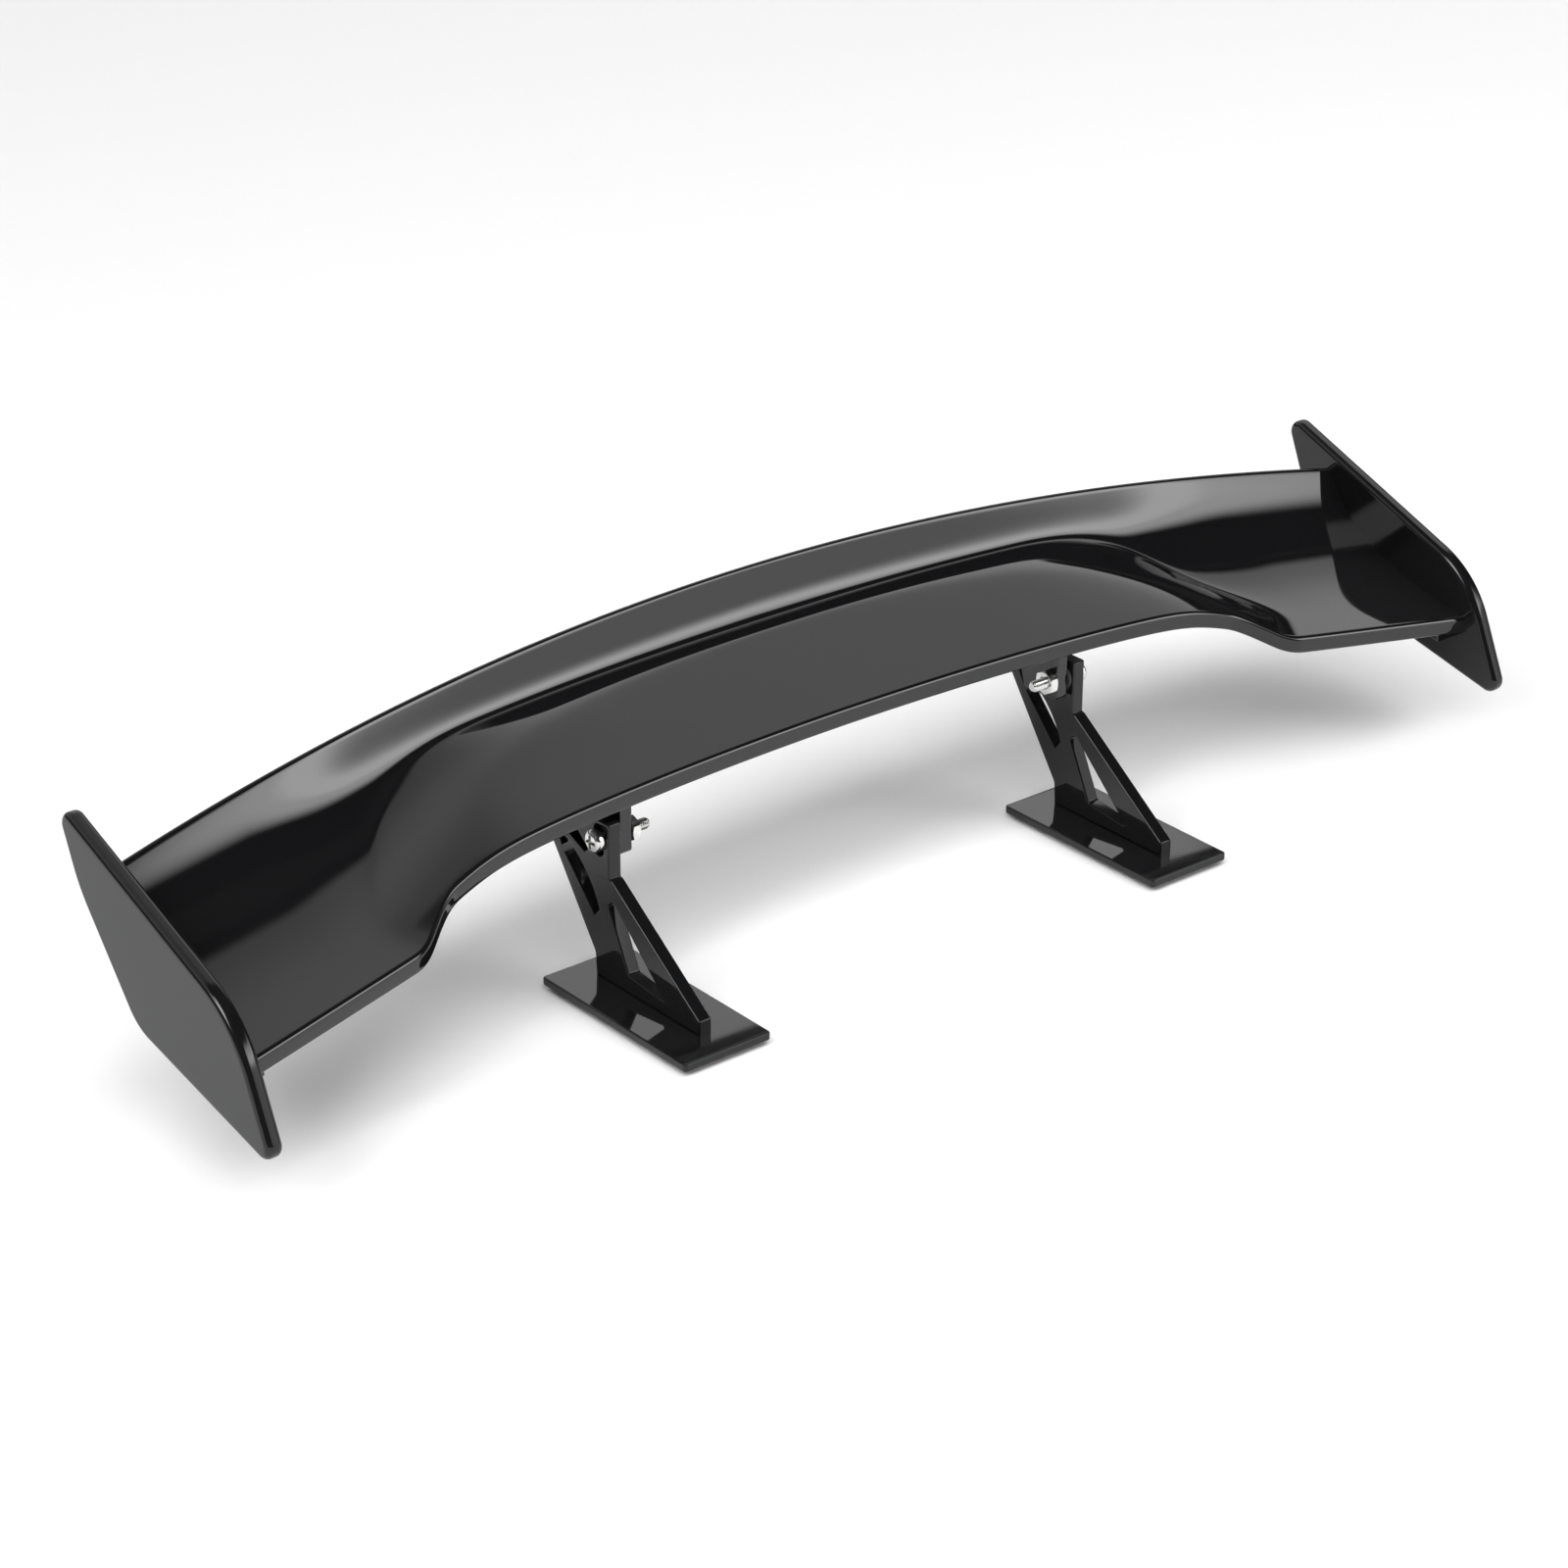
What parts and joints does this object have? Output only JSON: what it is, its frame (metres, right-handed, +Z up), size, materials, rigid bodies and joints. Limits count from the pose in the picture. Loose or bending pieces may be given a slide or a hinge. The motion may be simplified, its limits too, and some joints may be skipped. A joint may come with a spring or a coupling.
{
  "type": "rear wing",
  "caption": "Small stick-on rear wing for a car's boot lid: an arched blade with a stepped leading edge between endplates, tilting on slotted truss uprights with adhesive feet.",
  "frame": {"origin": "on the boot lid, under the middle of the wing's box", "axes": "+X along the span, to the right as seen from the leading edge; +Y towards the trailing edge; +Z up"},
  "size_m": [0.27, 0.0614, 0.0514],
  "materials": {
    "black_gloss": "piano-gloss black ABS",
    "plated_steel": "bright zinc plate",
    "nylon": "black nylon",
    "foam_pad": "black acrylic foam tape",
    "liner_film": "red release film"
  },
  "bodies": {
    "leg_left": {"upright_left": "black_gloss", "foot_plate_left": "black_gloss", "adhesive_pad_left": "foam_pad", "pad_liner_left": "liner_film"},
    "clamp_left": {"pivot_screw_left": "plated_steel", "pivot_nut_left": "plated_steel", "friction_washer_left": "nylon"},
    "wing": {"wing_blade": "black_gloss", "endplate_left": "black_gloss", "endplate_right": "black_gloss"},
    "clamp_right": {"pivot_screw_right": "plated_steel", "pivot_nut_right": "plated_steel", "friction_washer_right": "nylon"},
    "leg_right": {"upright_right": "black_gloss", "foot_plate_right": "black_gloss", "adhesive_pad_right": "foam_pad", "pad_liner_right": "liner_film"}
  },
  "joints": [
    {"name": "left_height", "type": "slide", "parent": "leg_left", "child": "clamp_left", "axis": [0, 0, 1], "range_m": [0, 0.0015]},
    {"name": "wing_tilt", "type": "hinge", "parent": "clamp_left", "child": "wing", "pos_m": [-0.0511, 0.00135, 0.0272], "axis": [1, 0, 0], "range_deg": [-25, 20]},
    {"name": "right_tilt", "type": "hinge", "parent": "wing", "child": "clamp_right", "pos_m": [0.0511, 0.00135, 0.0272], "axis": [1, 0, 0], "range_deg": [-20, 25]},
    {"name": "right_height", "type": "slide", "parent": "clamp_right", "child": "leg_right", "axis": [0, 0, 1], "range_m": [-0.0015, 0]}
  ],
  "couplings": [
    {"joint": "right_tilt", "follows": "wing_tilt", "ratio": -1},
    {"joint": "right_height", "follows": "left_height", "ratio": -1}
  ]
}
